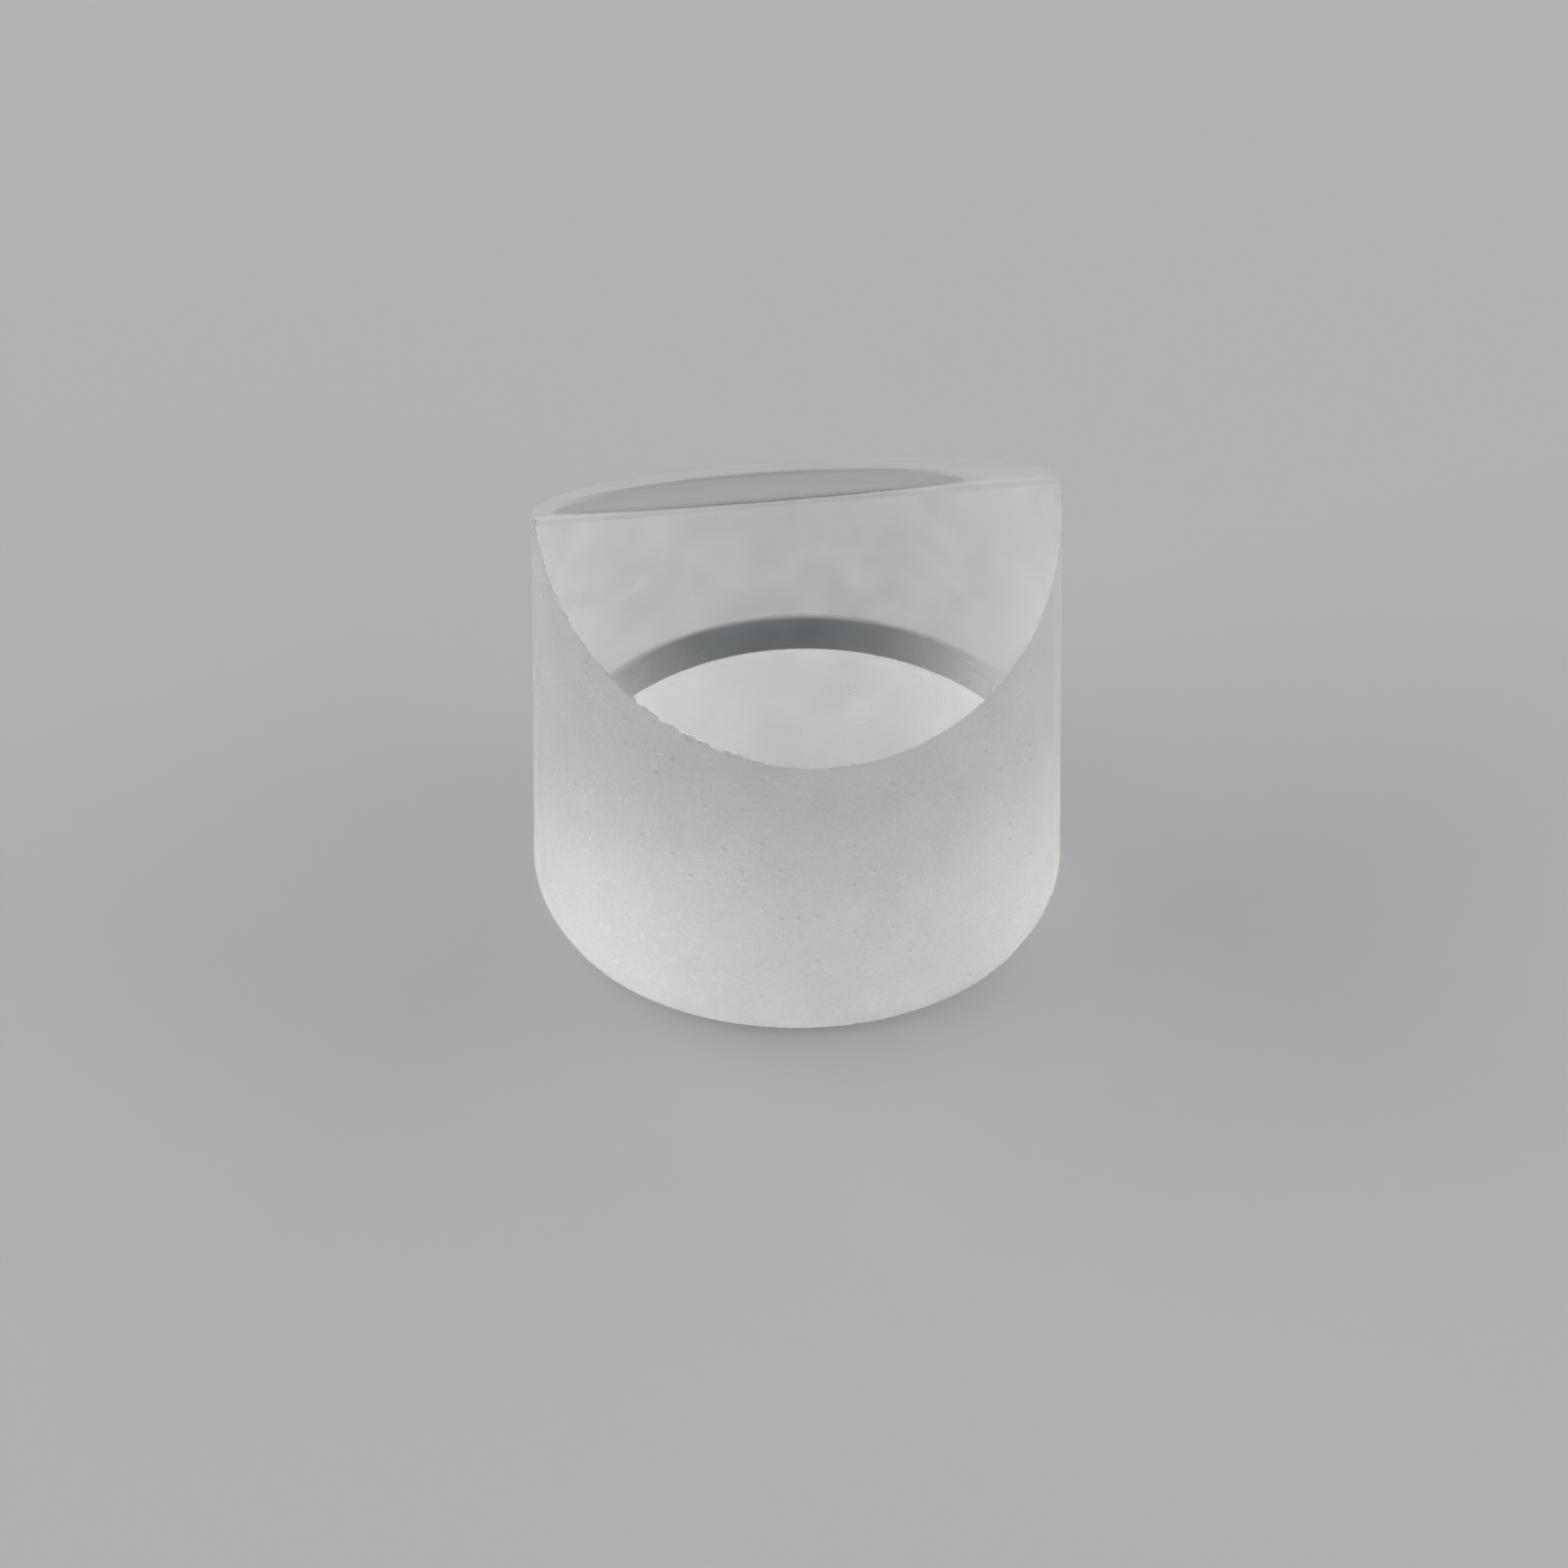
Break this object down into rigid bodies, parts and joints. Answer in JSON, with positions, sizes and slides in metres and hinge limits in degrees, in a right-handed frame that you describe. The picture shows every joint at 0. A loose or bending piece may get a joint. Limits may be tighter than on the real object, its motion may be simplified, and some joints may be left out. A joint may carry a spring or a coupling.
{
  "type": "powell lens",
  "caption": "Glass line-generating lens: ground round barrel, flat polished base with a bevelled edge, and a two-flank polished roof meeting in a rounded ridge.",
  "frame": {"origin": "centre of the flat base face", "axes": "+Z is the optical axis and points from the base up through the roof ridge; +X runs along the ridge; +Y points across the ridge towards one flank"},
  "size_m": [0.009, 0.009, 0.008],
  "materials": {
    "optical_glass": "crown glass: polished roof flanks and base, fine-ground matt barrel and bevel"
  },
  "bodies": {
    "root": {"lens": "optical_glass"}
  },
  "joints": []
}
